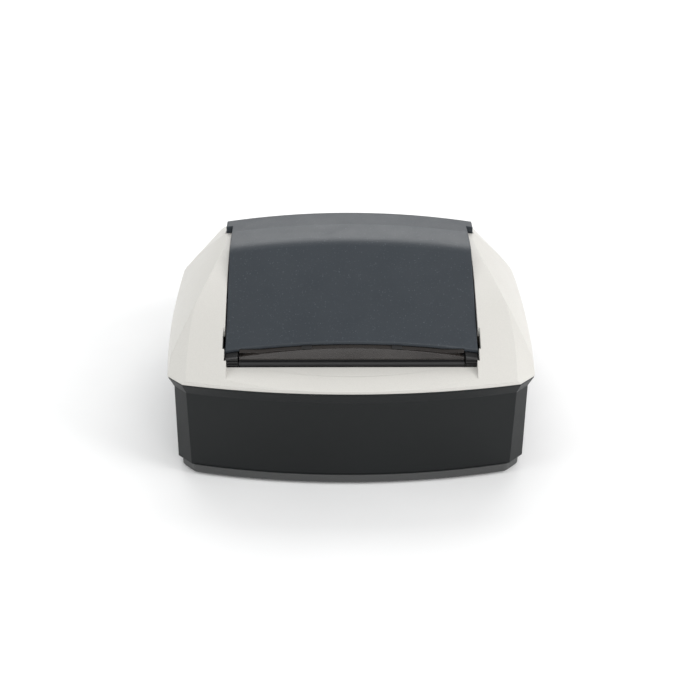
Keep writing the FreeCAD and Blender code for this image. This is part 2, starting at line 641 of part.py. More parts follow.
# ---------------------------------------------------------------- operator panel, on the lid
def make_operator_panel():
    plate = panel_block(0, -PANEL_SINK - 1.3, -PANEL_SINK)
    holes = [rounded_block(-33.5, -5.8, -10, -3.5, 5.8, 5, 1.0)]
    for x in KEY_X:
        holes.append(key_block(x, 0.25, -10, 5))
    post = Part.makeCylinder(1.2, 1.7, V(0, 0, -PANEL_SINK - 3.0))
    posts = []
    for x, s in ((-34.6, -6.5), (36.2, -6.5), (36.2, 6.2), (2.0, 0.0)):
        posts.append(post.translated(V(x, s, 0)))
    return on_panel(plate.cut(holes).fuse(posts))


def key_block(x, margin, low, high):
    half_x = KEY_SIZE[0] / 2 + margin
    half_s = KEY_SIZE[1] / 2 + margin
    return rounded_block(x - half_x, -half_s, low, x + half_x, half_s, high, 1.4 + margin)


def make_key(x):
    cap = key_block(x, 0, -PANEL_SINK - 1.5, -PANEL_SINK + 1.1)
    rim = [edge for edge in cap.Edges if edge.BoundBox.ZMin > -PANEL_SINK + 1.0]
    cap = cap.makeFillet(0.4, rim)
    stem = Part.makeCylinder(1.1, 0.8, V(x, 0, -PANEL_SINK - 2.3))
    return on_panel(cap.fuse(stem))


def make_panel_board():
    board = rounded_block(-35.5, -7.6, -6.2, 37.0, 7.6, -5.3, 1.0)
    return on_panel(board)


def make_display_glass():
    return on_panel(rounded_block(-33.35, -5.65, -PANEL_SINK - 0.9, -3.65, 5.65,
                                  -PANEL_SINK - 0.1, 0.9))


def make_display_module():
    frame = box(-32.5, -5.4, -5.2, -4.5, 5.4, -PANEL_SINK - 1.0)
    return on_panel(frame)


# ---------------------------------------------------------------- drive
def gear(teeth, x0, x1, centre, phase, bore):
    """Spur gear across X with straight-sided teeth; phase is the angle of one tooth from +Y."""
    pitch_r = GEAR_MODULE * teeth / 2
    step = 2 * math.pi / teeth
    outline = [(-0.31, pitch_r - 1.2 * GEAR_MODULE), (-0.225, pitch_r),
               (-0.12, pitch_r + 0.85 * GEAR_MODULE), (0.12, pitch_r + 0.85 * GEAR_MODULE),
               (0.225, pitch_r), (0.31, pitch_r - 1.2 * GEAR_MODULE)]
    points = []
    for tooth in range(teeth):
        for share, radius in outline:
            angle = phase + (tooth + share) * step
            points.append((centre[0] + radius * math.cos(angle),
                           centre[1] + radius * math.sin(angle)))
    wheel = prism_x(points, x0, x1)
    return wheel.cut(cylinder_x(centre[0], centre[1], bore, x0 - 1, x1 + 1))


def meet_circles(a, radius_a, b, radius_b):
    """The lower of the two points at these distances from a and b."""
    dy, dz = b[0] - a[0], b[1] - a[1]
    gap = math.hypot(dy, dz)
    along = (radius_a ** 2 - radius_b ** 2 + gap ** 2) / (2 * gap)
    side = math.sqrt(radius_a ** 2 - along ** 2)
    points = []
    for sign in (-1, 1):
        points.append((a[0] + along * dy / gap - sign * side * dz / gap,
                       a[1] + along * dz / gap + sign * side * dy / gap))
    return min(points, key=lambda point: point[1])


def meshing_phase(driver, driver_teeth, driver_phase, other, other_teeth):
    """Phase that sets a tooth gap of the other gear on the driver's tooth line."""
    bearing = math.atan2(other[1] - driver[1], other[0] - driver[0])
    return (bearing + math.pi
            - (driver_teeth * (driver_phase - bearing) + math.pi) / other_teeth)


COMPOUND_AXIS = meet_circles(
    MOTOR_AXIS, GEAR_MODULE * (PINION_TEETH + WHEEL_TEETH) / 2 + GEAR_SLACK,
    FRONT_SHAFT, GEAR_MODULE * (SMALL_TEETH + SHAFT_TEETH) / 2 + GEAR_SLACK)
PINION_PHASE = meshing_phase(COMPOUND_AXIS, WHEEL_TEETH, 0, MOTOR_AXIS, PINION_TEETH)
SHAFT_PHASE = meshing_phase(COMPOUND_AXIS, SMALL_TEETH, 0, FRONT_SHAFT, SHAFT_TEETH)
STUD_R = 1.5
MOTOR_SHAFT_R = 1.0
SHAFT_END_X = 53.4
DISC_X = -48.8            # plane of the encoder disc


def make_shaft(centre, left_x, right_x):
    shaft = cylinder_x(centre[0], centre[1], SHAFT_R, left_x, right_x)
    ends = [edge for edge in shaft.Edges if edge.Closed]
    return shaft.makeChamfer(0.4, ends)


def make_tyres(centre):
    tyres = []
    for x0, x1 in TYRE_SPANS:
        ring = cylinder_x(centre[0], centre[1], TYRE_R, x0, x1)
        hub = cylinder_x(centre[0], centre[1], 4.6, x0 - 1, x1 + 1)
        tyres.append(ring.cut(hub))
    return Part.makeCompound(tyres)


def make_hubs(centre):
    hubs = []
    for x0, x1 in TYRE_SPANS:
        hub = cylinder_x(centre[0], centre[1], 4.6, x0, x1)
        boss = cylinder_x(centre[0], centre[1], 3.6, x1, x1 + 1.2)
        hubs.append(hub.fuse(boss).cut(cylinder_x(centre[0], centre[1], SHAFT_R, x0 - 1, x1 + 2)))
    return Part.makeCompound(hubs)


def make_pulley(centre):
    rim = cylinder_x(centre[0], centre[1], PULLEY_R, *BELT_X)
    outer = cylinder_x(centre[0], centre[1], PULLEY_R + 1.6, BELT_X[1], BELT_X[1] + 0.6)
    inner = cylinder_x(centre[0], centre[1], PULLEY_R + 1.6, BELT_X[0] - 0.6, BELT_X[0])
    bore = cylinder_x(centre[0], centre[1], SHAFT_R, 48, 55)
    return rim.fuse([outer, inner]).cut(bore)


def make_belt():
    (ay, az), (by, bz) = FRONT_SHAFT, REAR_SHAFT
    gap = math.hypot(by - ay, bz - az)
    loops = []
    for radius in (PULLEY_R + 0.05 + BELT_T, PULLEY_R + 0.05):
        run = box(BELT_X[0] + 0.1, 0, -radius, BELT_X[1] - 0.1, gap, radius)
        run = run.fuse([cylinder_x(0, 0, radius, BELT_X[0] + 0.1, BELT_X[1] - 0.1),
                        cylinder_x(gap, 0, radius, BELT_X[0] + 0.1, BELT_X[1] - 0.1)])
        loops.append(run)
    belt = loops[0].cut(loops[1]).removeSplitter()
    belt.rotate(ORIGIN, X_AXIS, math.degrees(math.atan2(bz - az, by - ay)))
    return belt.translate(V(0, ay, az))


def make_encoder_disc():
    y, z = REAR_SHAFT
    disc = cylinder_x(y, z, 6.5, DISC_X, DISC_X + 0.6)
    disc = disc.fuse(cylinder_x(y, z, 3.8, DISC_X - 1.0, DISC_X + 0.6))
    slots = []
    for i in range(12):
        slot = box(DISC_X - 2, -0.7, 4.4, DISC_X + 2, 0.7, 5.9)
        slot.rotate(ORIGIN, X_AXIS, 30.0 * i)
        slots.append(slot.translate(V(0, y, z)))
    slots.append(cylinder_x(y, z, SHAFT_R, DISC_X - 2, DISC_X + 2))
    return disc.cut(slots)


def make_bushes():
    bushes = []
    for y, z in (FRONT_SHAFT, REAR_SHAFT):
        for side in (-1, 1):
            x0, x1 = sorted((side * (SIDE_PLATE_X - 0.9), side * (SIDE_PLATE_X + 1.9)))
            flange = sorted((side * (SIDE_PLATE_X - 0.9), side * SIDE_PLATE_X))
            bush = cylinder_x(y, z, 3.8, x0, x1).fuse(cylinder_x(y, z, 4.6, *flange))
            bore = cylinder_x(y, z, SHAFT_R + RUNNING_FIT, x0 - 1, x1 + 1)
            bushes.append(bush.cut(bore))
    return Part.makeCompound(bushes)


def make_idler_axle(centre):
    return cylinder_x(centre[0], centre[1], 1.2, -26.5, 26.5)


def make_idler_rollers(centre):
    rollers = []
    for x0, x1 in TYRE_SPANS:
        roller = cylinder_x(centre[0], centre[1], IDLER_R, x0, x1)
        rollers.append(roller.cut(cylinder_x(centre[0], centre[1], 1.2, x0 - 1, x1 + 1)))
    return Part.makeCompound(rollers)


def make_idler_brackets():
    """Four slotted ears standing on the upper guide, two for each idler axle."""
    brackets = []
    for y, z in (FRONT_IDLER, REAR_IDLER):
        for x0 in (-25.4, 23.8):
            ear = box(x0, y - 2.6, z - 4, x0 + 1.6, y + 2.6, z + 2.2)
            foot = guide_slab(-20, NOTE_CLEAR + GUIDE_T, -40, 41, -50, 50)
            bore = cylinder_x(y, z, 1.2 + RUNNING_FIT, x0 - 1, x0 + 3)
            brackets.append(ear.cut([foot, bore]))
    return Part.makeCompound(brackets)


def make_pinion():
    return gear(PINION_TEETH, STAGE_1_X[0], STAGE_1_X[1], MOTOR_AXIS, PINION_PHASE,
                MOTOR_SHAFT_R)


def make_motor_shaft():
    return cylinder_x(MOTOR_AXIS[0], MOTOR_AXIS[1], MOTOR_SHAFT_R, 41.6, STAGE_1_X[1] + 0.6)


def make_compound_gear():
    wheel = gear(WHEEL_TEETH, STAGE_1_X[0], STAGE_1_X[1], COMPOUND_AXIS, 0,
                 STUD_R + RUNNING_FIT)
    small = gear(SMALL_TEETH, STAGE_1_X[1], STAGE_2_X[1], COMPOUND_AXIS, 0,
                 STUD_R + RUNNING_FIT)
    return wheel.fuse(small)


def make_gear_stud():
    y, z = COMPOUND_AXIS
    stud = cylinder_x(y, z, STUD_R, SIDE_PLATE_X, 49.4)
    return stud.fuse(cylinder_x(y, z, 2.6, SIDE_PLATE_X + SIDE_PLATE_T, STAGE_1_X[0] - 0.2))


def make_shaft_gear():
    return gear(SHAFT_TEETH, STAGE_2_X[0], STAGE_2_X[1], FRONT_SHAFT, SHAFT_PHASE, SHAFT_R)


def make_motor():
    y, z = MOTOR_AXIS
    can = cylinder_x(y, z, 10.0, 8.0, 39.4)
    rims = [edge for edge in can.Edges if edge.Closed]
    can = can.makeFillet(1.2, rims)
    boss = cylinder_x(y, z, 3.0, 39.0, 41.5)
    tail = cylinder_x(y, z, 2.2, 6.4, 9.0)
    return can.fuse([boss, tail])


def make_side_plate():
    outline = [(-43.4, 39.3), (-43.4, 46.9), (-30.0, 50.9), (-12.0, 54.9), (12.0, 54.9),
               (30.0, 51.5), (40.0, 50.2), (HINGE_AXIS[0], HINGE_AXIS[1] + HINGE_EYE_R),
               (HINGE_AXIS[0], HINGE_AXIS[1] - HINGE_EYE_R), (33.0, 33.3),
               (28.0, PLATE_TOP_Z), (-28.0, PLATE_TOP_Z), (-33.0, 33.3)]
    plate = prism_x(outline, SIDE_PLATE_X, SIDE_PLATE_X + SIDE_PLATE_T)
    plate = plate.fuse(cylinder_x(HINGE_AXIS[0], HINGE_AXIS[1], HINGE_EYE_R, SIDE_PLATE_X,
                                  SIDE_PLATE_X + SIDE_PLATE_T))
    holes = []
    for y, z in (FRONT_SHAFT, REAR_SHAFT):
        holes.append(cylinder_x(y, z, 3.8, 39, 43))
    holes.append(cylinder_x(HINGE_AXIS[0], HINGE_AXIS[1], HINGE_PIN_R, 39, 43))
    return plate.cut(holes)


def make_side_plates():
    right = make_side_plate().cut([
        cylinder_x(MOTOR_AXIS[0], MOTOR_AXIS[1], 3.0, 39, 43),
        cylinder_x(COMPOUND_AXIS[0], COMPOUND_AXIS[1], STUD_R, 39, 43)])
    left = mirrored_x(make_side_plate())
    return left, right


def make_cross_bars():
    """Bars that tie the side plates together; the slim one carries the sensor bar."""
    bars = [cylinder_x(y, z, 2.5, -SIDE_PLATE_X, SIDE_PLATE_X)
            for y, z in ((-36.0, 39.3), (36.0, 39.3), (26.0, 24.0), (-26.0, 20.0))]
    bars.append(cylinder_x(-5.2, 45.3, 1.8, -SIDE_PLATE_X, SIDE_PLATE_X))
    return Part.makeCompound(bars)


# ---------------------------------------------------------------- base contents
PLATE_Z = (FOOT_H, PLATE_TOP_Z)
PLATE_OUTLINE = (64.2, 62.3, 112.2)    # half width, half depth, corner sum
BOSS_XY = [(52.0, 36.0), (52.0, -36.0), (-52.0, 36.0), (-52.0, -36.0)]
FOOT_XY = [(50.0, 49.5), (50.0, -49.5), (-50.0, 49.5), (-50.0, -49.5)]
FOOT_R = 4.5
SCREW_R = 1.2
HATCH = (-37.0, -18.0, -5.0, 30.0)     # x0, y0, x1, y1 of the battery hatch
HATCH_TOP_Z = FOOT_H + 1.6
BOARD_Z = 7.0             # underside of the main board
BOARD_T = 1.6
BOARD_POST_XY = [(7.0, -37.0), (36.0, -37.0), (7.0, 37.0), (36.0, 37.0)]


def make_bottom_plate():
    low, high = PLATE_Z
    depth = high - low
    plate = Part.Face(inset_outline(PLATE_OUTLINE, 0, low)).extrude(V(0, 0, depth))
    upright = [edge for edge in plate.Edges
               if abs(edge.BoundBox.ZLength - depth) < 1e-3 and edge.BoundBox.XLength < 1e-3]
    plate = plate.makeFillet(3.0, upright)
    lower_rim = [edge for edge in plate.Edges if edge.BoundBox.ZMax < low + 1e-3]
    plate = plate.makeFillet(0.8, lower_rim)
    x0, y0, x1, y1 = HATCH
    cuts = [box(x0 + 1.5, y0 + 1.5, 0, x1 - 1.5, y1 - 1.5, 9), box(x0, y0, 0, x1, y1, HATCH_TOP_Z)]
    for x, y in BOSS_XY:
        cuts.append(cylinder_z(x, y, 1.7, 0, 9))
        cuts.append(cylinder_z(x, y, 3.4, 0, low + 1.8))
    for x, y in FOOT_XY:
        cuts.append(cylinder_z(x, y, FOOT_R, 0, low + 0.6))
    for i in range(7):
        cuts.append(box(8 + 5 * i, -20, 0, 10 + 5 * i, 12, 9))
    posts = [cylinder_z(x, y, 2.2, high, BOARD_Z) for x, y in BOARD_POST_XY]
    return plate.cut(cuts).fuse(posts)


def make_feet():
    feet = []
    for x, y in FOOT_XY:
        foot = cylinder_z(x, y, FOOT_R, 0, FOOT_H + 0.6)
        rim = [edge for edge in foot.Edges if edge.Closed and edge.BoundBox.ZMax < 0.1]
        feet.append(foot.makeFillet(0.4, rim))
    return Part.makeCompound(feet)


def make_hatch():
    x0, y0, x1, y1 = HATCH
    hatch = box(x0 + 0.15, y0 + 0.15, FOOT_H + 0.1, x1 - 0.15, y1 - 0.15, HATCH_TOP_Z)
    ribs = [box(x0 + 6, y1 - 8 + 2.2 * i, FOOT_H, x1 - 6, y1 - 7 + 2.2 * i, FOOT_H + 0.4)
            for i in range(2)]
    screw = cylinder_z((x0 + x1) / 2, y0 + 3.2, 1.3, 0, 5)
    return hatch.cut(ribs + [screw])


def make_screw(x, y, z, length):
    head = cylinder_z(x, y, 2.6, z, z + 1.6)
    shank = cylinder_z(x, y, SCREW_R, z + 1.6, z + 1.6 + length)
    slot = box(x - 1.4, y - 0.3, z - 1, x + 1.4, y + 0.3, z + 0.8)
    cross = box(x - 0.3, y - 1.4, z - 1, x + 0.3, y + 1.4, z + 0.8)
    return head.fuse(shank).cut([slot, cross])


def make_case_screws():
    return Part.makeCompound([make_screw(x, y, FOOT_H + 0.2, 12.0) for x, y in BOSS_XY])


def make_case_pillars():
    """Screw pillars standing between the bottom plate and the upper shell."""
    inside = shell_form(WALL).fuse(box(-60, -55, PLATE_TOP_Z, 60, 55, LIP_Z - 3))
    pillars = []
    for x, y in BOSS_XY:
        pillar = cylinder_z(x, y, 3.3, PLATE_TOP_Z, 75).cut(cylinder_z(x, y, SCREW_R, 0, 16))
        pillars.append(pillar.common(inside))
    return Part.makeCompound(pillars)


def make_main_board():
    return box(4.0, -40.0, BOARD_Z, 39.0, 40.0, BOARD_Z + BOARD_T)


def make_board_chips():
    top = BOARD_Z + BOARD_T
    chips = [box(12, -36, top, 24, -24, top + 1.6), box(28, -34, top, 36, -28, top + 1.4),
             box(10, 14, top, 18, 22, top + 1.4), box(24, 14, top, 36, 24, top + 1.8)]
    chips.append(cylinder_z(31, 31, 3.2, top, top + 7.4))
    chips.append(cylinder_z(22, 32, 2.6, top, top + 5.9))
    return Part.makeCompound(chips)


def make_battery():
    """Rechargeable pack that rests on the hatch."""
    return rounded_block(-34.5, -15.5, HATCH_TOP_Z, -7.5, 27.5, HATCH_TOP_Z + 15.8, 3.0)


INLET_Y = 26.0
INLET_Z = 17.5
INLET_FACE_X = 64.0
UPDATE_Y = 8.0
SWITCH_Y = 24.0
SWITCH_Z = 20.0
SWITCH_FACE_X = -65.3
ROCKER_PIVOT_X = -62.3
ROCKER_TILT = 7.0         # degrees either way from square


def make_power_inlet():
    """Round low-voltage socket in the +X side, its mouth facing outwards."""
    body = box(55.5, INLET_Y - 4.6, INLET_Z - 4.8, INLET_FACE_X, INLET_Y + 4.6, INLET_Z + 4.8)
    mouth = cylinder_x(INLET_Y, INLET_Z, 3.0, 57.0, 70)
    pin = cylinder_x(INLET_Y, INLET_Z, 1.0, 56.5, INLET_FACE_X - 1.0)
    return body.cut(mouth).fuse(pin)


def make_update_socket():
    body = box(55.0, UPDATE_Y - 7.0, 14.0, INLET_FACE_X, UPDATE_Y + 7.0, 21.0)
    mouth = box(56.5, UPDATE_Y - 6.1, 14.9, 70, UPDATE_Y + 6.1, 20.1)
    tongue = box(56.0, UPDATE_Y - 5.0, 17.6, INLET_FACE_X - 1.5, UPDATE_Y + 5.0, 19.4)
    return body.cut(mouth).fuse(tongue)


def side_cutters():
    """Openings in the base housing for the sockets and the switch."""
    return [
        box(55, INLET_Y - 4.75, INLET_Z - 4.95, 70, INLET_Y + 4.75, INLET_Z + 4.95),
        box(55, UPDATE_Y - 7.15, 13.85, 70, UPDATE_Y + 7.15, 21.15),
        box(-70, SWITCH_Y - 6.1, SWITCH_Z - 4.1, -55, SWITCH_Y + 6.1, SWITCH_Z + 4.1),
        box(-70, SWITCH_Y - 7.35, SWITCH_Z - 5.35, SWITCH_FACE_X + 0.7, SWITCH_Y + 7.35,
            SWITCH_Z + 5.35),
    ]


def make_switch_body():
    body = box(SWITCH_FACE_X + 1.2, SWITCH_Y - 6, SWITCH_Z - 4, -54, SWITCH_Y + 6, SWITCH_Z + 4)
    flange = box(SWITCH_FACE_X, SWITCH_Y - 7.2, SWITCH_Z - 5.2, SWITCH_FACE_X + 0.7,
                 SWITCH_Y + 7.2, SWITCH_Z + 5.2)
    neck = box(SWITCH_FACE_X + 0.7, SWITCH_Y - 6, SWITCH_Z - 4, SWITCH_FACE_X + 1.2,
               SWITCH_Y + 6, SWITCH_Z + 4)
    well = box(-70, SWITCH_Y - 5.0, SWITCH_Z - 3.0, -57.5, SWITCH_Y + 5.0, SWITCH_Z + 3.0)
    pivot = cylinder_z(ROCKER_PIVOT_X, SWITCH_Y, 0.8 + RUNNING_FIT, SWITCH_Z - 3.8,
                       SWITCH_Z + 3.8)
    return body.fuse([flange, neck]).cut([well, pivot])


def make_rocker():
    outer_x = SWITCH_FACE_X - 0.7
    points = [(outer_x - 0.1, SWITCH_Y - 4.5), (outer_x + 0.6, SWITCH_Y),
              (outer_x - 0.1, SWITCH_Y + 4.5), (ROCKER_PIVOT_X + 0.4, SWITCH_Y + 4.3),
              (ROCKER_PIVOT_X + 1.6, SWITCH_Y), (ROCKER_PIVOT_X + 0.4, SWITCH_Y - 4.3)]
    rocker = prism_z(points, SWITCH_Z - 2.7, SWITCH_Z + 2.7)
    pin = cylinder_z(ROCKER_PIVOT_X, SWITCH_Y, 0.8, SWITCH_Z - 3.6, SWITCH_Z + 3.6)
    rocker = rocker.fuse(pin)
    return rocker.rotate(V(ROCKER_PIVOT_X, SWITCH_Y, 0), Z_AXIS, ROCKER_TILT)


def make_encoder_sensor():
    """Fork sensor astride the rim of the encoder disc."""
    y, z = REAR_SHAFT
    fork = box(DISC_X - 3.0, y - 2.5, z - 12.5, DISC_X + 3.2, y + 2.5, z - 4.8)
    slot = box(DISC_X - 1.4, y - 3, z - 7.6, DISC_X + 1.2, y + 3, z)
    stem = box(-SIDE_PLATE_X - 5, y - 2.5, z - 12.5, -SIDE_PLATE_X - 1, y + 2.5, z - 9.5)
    return fork.cut([slot, cylinder_x(y, z, 4.6, -55, -40)]).fuse(stem)


def make_lid_board():
    return box(-34.0, -10.0, LID_BOARD_Z, 34.0, 8.0, LID_BOARD_Z + LID_BOARD_T)


def main():
    os.makedirs("parts", exist_ok=True)
    left_plate, right_plate = make_side_plates()
    nodes = {
        "base_housing": make_base_housing(),
        "bottom_plate": make_bottom_plate(),
        "feet": make_feet(),
        "case_screws": make_case_screws(),
        "case_pillars": make_case_pillars(),
        "top_shell": make_top_shell(),
        "battery": make_battery(),
        "battery_hatch": make_hatch(),
        "main_board": make_main_board(),
        "board_chips": make_board_chips(),
        "power_inlet": make_power_inlet(),
        "update_socket": make_update_socket(),
        "switch_body": make_switch_body(),
        "power_rocker": make_rocker(),
        "side_plate_left": left_plate,
        "side_plate_right": right_plate,
        "cross_bars": make_cross_bars(),
        "bushes": make_bushes(),
        "lower_guide": make_lower_guide(),
        "image_sensor": make_image_sensor(),
        "sensor_window": make_sensor_window(),
        "magnetic_heads": make_magnetic_heads(),
        "motor": make_motor(),
        "motor_shaft": make_motor_shaft(),
        "motor_pinion": make_pinion(),
        "compound_gear": make_compound_gear(),
        "gear_stud": make_gear_stud(),
        "front_shaft": make_shaft(FRONT_SHAFT, -43.0, SHAFT_END_X),
        "front_hubs": make_hubs(FRONT_SHAFT),
        "front_tyres": make_tyres(FRONT_SHAFT),
        "front_gear": make_shaft_gear(),
        "front_pulley": make_pulley(FRONT_SHAFT),
        "rear_shaft": make_shaft(REAR_SHAFT, DISC_X - 1.4, SHAFT_END_X),
        "rear_hubs": make_hubs(REAR_SHAFT),
        "rear_tyres": make_tyres(REAR_SHAFT),
        "rear_pulley": make_pulley(REAR_SHAFT),
        "encoder_disc": make_encoder_disc(),
        "encoder_sensor": make_encoder_sensor(),
        "drive_belt": make_belt(),
        "hinge_pins": make_hinge_pins(),
        "top_lid": make_lid(),
        "smoked_lip": make_smoked_lip(),
        "lip_blocks": make_lip_blocks(),
        "latch_right": make_latch(),
        "latch_left": mirrored_x(make_latch()),
        "upper_guide": make_upper_guide(),
        "platen": make_platen(),
        "lid_board": make_lid_board(),
        "idler_brackets": make_idler_brackets(),
        "front_idler_axle": make_idler_axle(FRONT_IDLER),
        "front_idler_rollers": make_idler_rollers(FRONT_IDLER),
        "rear_idler_axle": make_idler_axle(REAR_IDLER),
        "rear_idler_rollers": make_idler_rollers(REAR_IDLER),
        "operator_panel": make_operator_panel(),
        "panel_board": make_panel_board(),
        "display_glass": make_display_glass(),
        "display_module": make_display_module(),
    }
    for number, x in enumerate(KEY_X, 1):
        nodes["key_%d" % number] = make_key(x)
    for name, shape in nodes.items():
        export(name, shape)
        box_size = shape.BoundBox
        print("%-20s solids %2d valid %s vol %9.1f  x %6.1f %6.1f y %6.1f %6.1f z %6.1f %6.1f" % (
            name, len(shape.Solids), shape.isValid(), shape.Volume, box_size.XMin, box_size.XMax,
            box_size.YMin, box_size.YMax, box_size.ZMin, box_size.ZMax))
    print(len(nodes), "nodes")


main()
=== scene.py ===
import json
import math

import bmesh
import bpy
from mathutils import Matrix, Vector


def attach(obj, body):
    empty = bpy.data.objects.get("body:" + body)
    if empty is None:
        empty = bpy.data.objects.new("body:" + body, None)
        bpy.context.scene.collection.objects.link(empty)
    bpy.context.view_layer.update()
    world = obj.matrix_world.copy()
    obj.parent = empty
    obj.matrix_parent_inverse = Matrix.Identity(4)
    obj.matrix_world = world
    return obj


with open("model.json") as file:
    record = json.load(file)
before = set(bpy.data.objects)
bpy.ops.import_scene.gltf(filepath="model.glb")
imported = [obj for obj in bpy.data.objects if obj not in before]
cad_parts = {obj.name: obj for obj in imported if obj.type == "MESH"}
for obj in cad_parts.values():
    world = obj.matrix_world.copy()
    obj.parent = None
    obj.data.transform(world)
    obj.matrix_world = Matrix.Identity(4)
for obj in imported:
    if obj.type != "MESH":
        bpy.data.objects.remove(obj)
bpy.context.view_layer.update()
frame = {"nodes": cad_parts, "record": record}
nodes = frame["nodes"]
MM = 0.001
PER_METRE = 1000.0        # texture scale of a pattern one millimetre wide


# ---------------------------------------------------------------- materials
PLASTIC_IOR = 1.46
CLEAR_IOR = 1.49
SMUDGE = 0.10             # extra roughness of a smeared patch on clear plastic
EDGE_SOFTNESS = 0.3       # rounding of edges in the shading, in millimetres
METAL_SOFTNESS = 0.2
FLECK_MM = 0.28           # size of the pale flecks in the lid's plastic


class Build:
    """Short calls for building one node material."""

    def __init__(self, name):
        self.mat = bpy.data.materials.new(name)
        self.mat.use_nodes = True
        self.tree = self.mat.node_tree
        self.shader = self.tree.nodes["Principled BSDF"]
        self.place = self.add("ShaderNodeTexCoord").outputs["Object"]

    def add(self, kind, **props):
        node = self.tree.nodes.new(kind)
        for key, value in props.items():
            setattr(node, key, value)
        return node

    def link(self, a, b):
        self.tree.links.new(a, b)

    def noise(self, size_mm, detail=3.0, rough=0.5, stretch=None):
        tex = self.add("ShaderNodeTexNoise")
        tex.inputs["Scale"].default_value = PER_METRE / size_mm
        tex.inputs["Detail"].default_value = detail
        tex.inputs["Roughness"].default_value = rough
        if stretch:
            mapping = self.add("ShaderNodeMapping")
            mapping.inputs["Scale"].default_value = stretch
            self.link(self.place, mapping.inputs["Vector"])
            self.link(mapping.outputs["Vector"], tex.inputs["Vector"])
        else:
            self.link(self.place, tex.inputs["Vector"])
        return tex.outputs["Fac"]

    def ramp(self, fac, low, high, low_value, high_value):
        """Maps fac from low..high to low_value..high_value, clamped."""
        node = self.add("ShaderNodeMapRange")
        node.inputs["From Min"].default_value = low
        node.inputs["From Max"].default_value = high
        node.inputs["To Min"].default_value = low_value
        node.inputs["To Max"].default_value = high_value
        self.link(fac, node.inputs["Value"])
        return node.outputs["Result"]

    def mix(self, fac, a, b):
        node = self.add("ShaderNodeMix", data_type="RGBA")
        for value, socket in ((a, node.inputs["A"]), (b, node.inputs["B"])):
            if isinstance(value, tuple):
                socket.default_value = (*value, 1.0)
            else:
                self.link(value, socket)
        self.link(fac, node.inputs["Factor"])
        return node.outputs["Result"]

    def product(self, a, b):
        node = self.add("ShaderNodeMath", operation="MULTIPLY")
        for i, value in enumerate((a, b)):
            if isinstance(value, (int, float)):
                node.inputs[i].default_value = value
            else:
                self.link(value, node.inputs[i])
        return node.outputs["Value"]

    def edges(self, radius_mm):
        """1 on a sharp edge, falling to 0 over the radius, with the softened normal."""
        bevel = self.add("ShaderNodeBevel", samples=6)
        bevel.inputs["Radius"].default_value = radius_mm * MM
        flat = self.add("ShaderNodeNewGeometry").outputs["Normal"]
        dot = self.add("ShaderNodeVectorMath", operation="DOT_PRODUCT")
        self.link(bevel.outputs["Normal"], dot.inputs[0])
        self.link(flat, dot.inputs[1])
        return self.ramp(dot.outputs["Value"], 0.99, 0.75, 0.0, 1.0), bevel.outputs["Normal"]

    def bump(self, height, strength, distance_mm, normal=None):
        node = self.add("ShaderNodeBump")
        node.inputs["Strength"].default_value = strength
        node.inputs["Distance"].default_value = distance_mm * MM
        self.link(height, node.inputs["Height"])
        if normal is not None:
            self.link(normal, node.inputs["Normal"])
        return node.outputs["Normal"]


def srgb(r, g, b):
    """Linear colour from 0..255 screen values."""
    out = []
    for value in (r, g, b):
        c = value / 255.0
        out.append(c / 12.92 if c <= 0.04045 else ((c + 0.055) / 1.055) ** 2.4)
    return tuple(out)


def moulded(name, colour, rough, *, wear, tone, soft_mm, grain=0.25, grain_mm=0.35,
            specular=0.5, fleck=None, coat=0.0):
    """Injection-moulded plastic with a fine grain, a slow drift of tone and paler worn edges."""
    b = Build(name)
    slow = b.noise(38.0, 2.0)
    rubbed = b.noise(9.0, 5.0, 0.6)
    grain_tex = b.noise(grain_mm, 2.0, 0.6)
    dark = tuple(c * (1.0 - tone) for c in colour)
    light = tuple(min(1.0, c * (1.0 + tone)) for c in colour)
    base = b.mix(b.ramp(slow, 0.35, 0.65, 0.0, 1.0), dark, light)
    base = b.mix(b.ramp(grain_tex, 0.42, 0.62, 0.0, 0.35), base, tuple(c * 0.86 for c in colour))
    edge, normal = b.edges(soft_mm)
    base = b.mix(b.product(edge, b.ramp(rubbed, 0.35, 0.7, 0.1, 0.6)), base, wear)
    if fleck:
        cell = b.add("ShaderNodeTexVoronoi", feature="F1")
        cell.inputs["Scale"].default_value = PER_METRE / FLECK_MM
        b.link(b.place, cell.inputs["Vector"])
        sparkle = b.ramp(cell.outputs["Color"], 0.84, 0.98, 0.0, 0.45)
        base = b.mix(sparkle, base, fleck)
    b.link(base, b.shader.inputs["Base Color"])
    b.link(b.ramp(rubbed, 0.3, 0.75, rough - 0.05, rough + 0.06), b.shader.inputs["Roughness"])
    b.shader.inputs["IOR"].default_value = PLASTIC_IOR
    b.shader.inputs["Specular IOR Level"].default_value = specular
    if coat:
        b.shader.inputs["Coat Weight"].default_value = coat
        b.shader.inputs["Coat Roughness"].default_value = 0.15
    b.link(b.bump(grain_tex, grain, 0.03, normal), b.shader.inputs["Normal"])
    return b.mat


def metal(name, colour, rough, brushed, tone=0.08, stain=None):
    """Metal with drawn or ground lines, slight tarnish and smeared handling marks."""
    b = Build(name)
    lines = b.noise(1.2, 4.0, 0.6, brushed)
    smear = b.noise(6.0, 4.0, 0.55)
    dull = stain or tuple(c * 0.72 for c in colour)
    base = b.mix(b.ramp(lines, 0.3, 0.7, 0.0, 1.0), tuple(c * (1 - tone) for c in colour), colour)
    base = b.mix(b.ramp(smear, 0.5, 0.8, 0.0, 0.5), base, dull)
    b.link(base, b.shader.inputs["Base Color"])
    b.shader.inputs["Metallic"].default_value = 1.0
    b.link(b.ramp(smear, 0.3, 0.8, rough - 0.06, rough + 0.14), b.shader.inputs["Roughness"])
    normal = b.edges(METAL_SOFTNESS)[1]
    b.link(b.bump(lines, 0.25, 0.02, normal), b.shader.inputs["Normal"])
    return b.mat


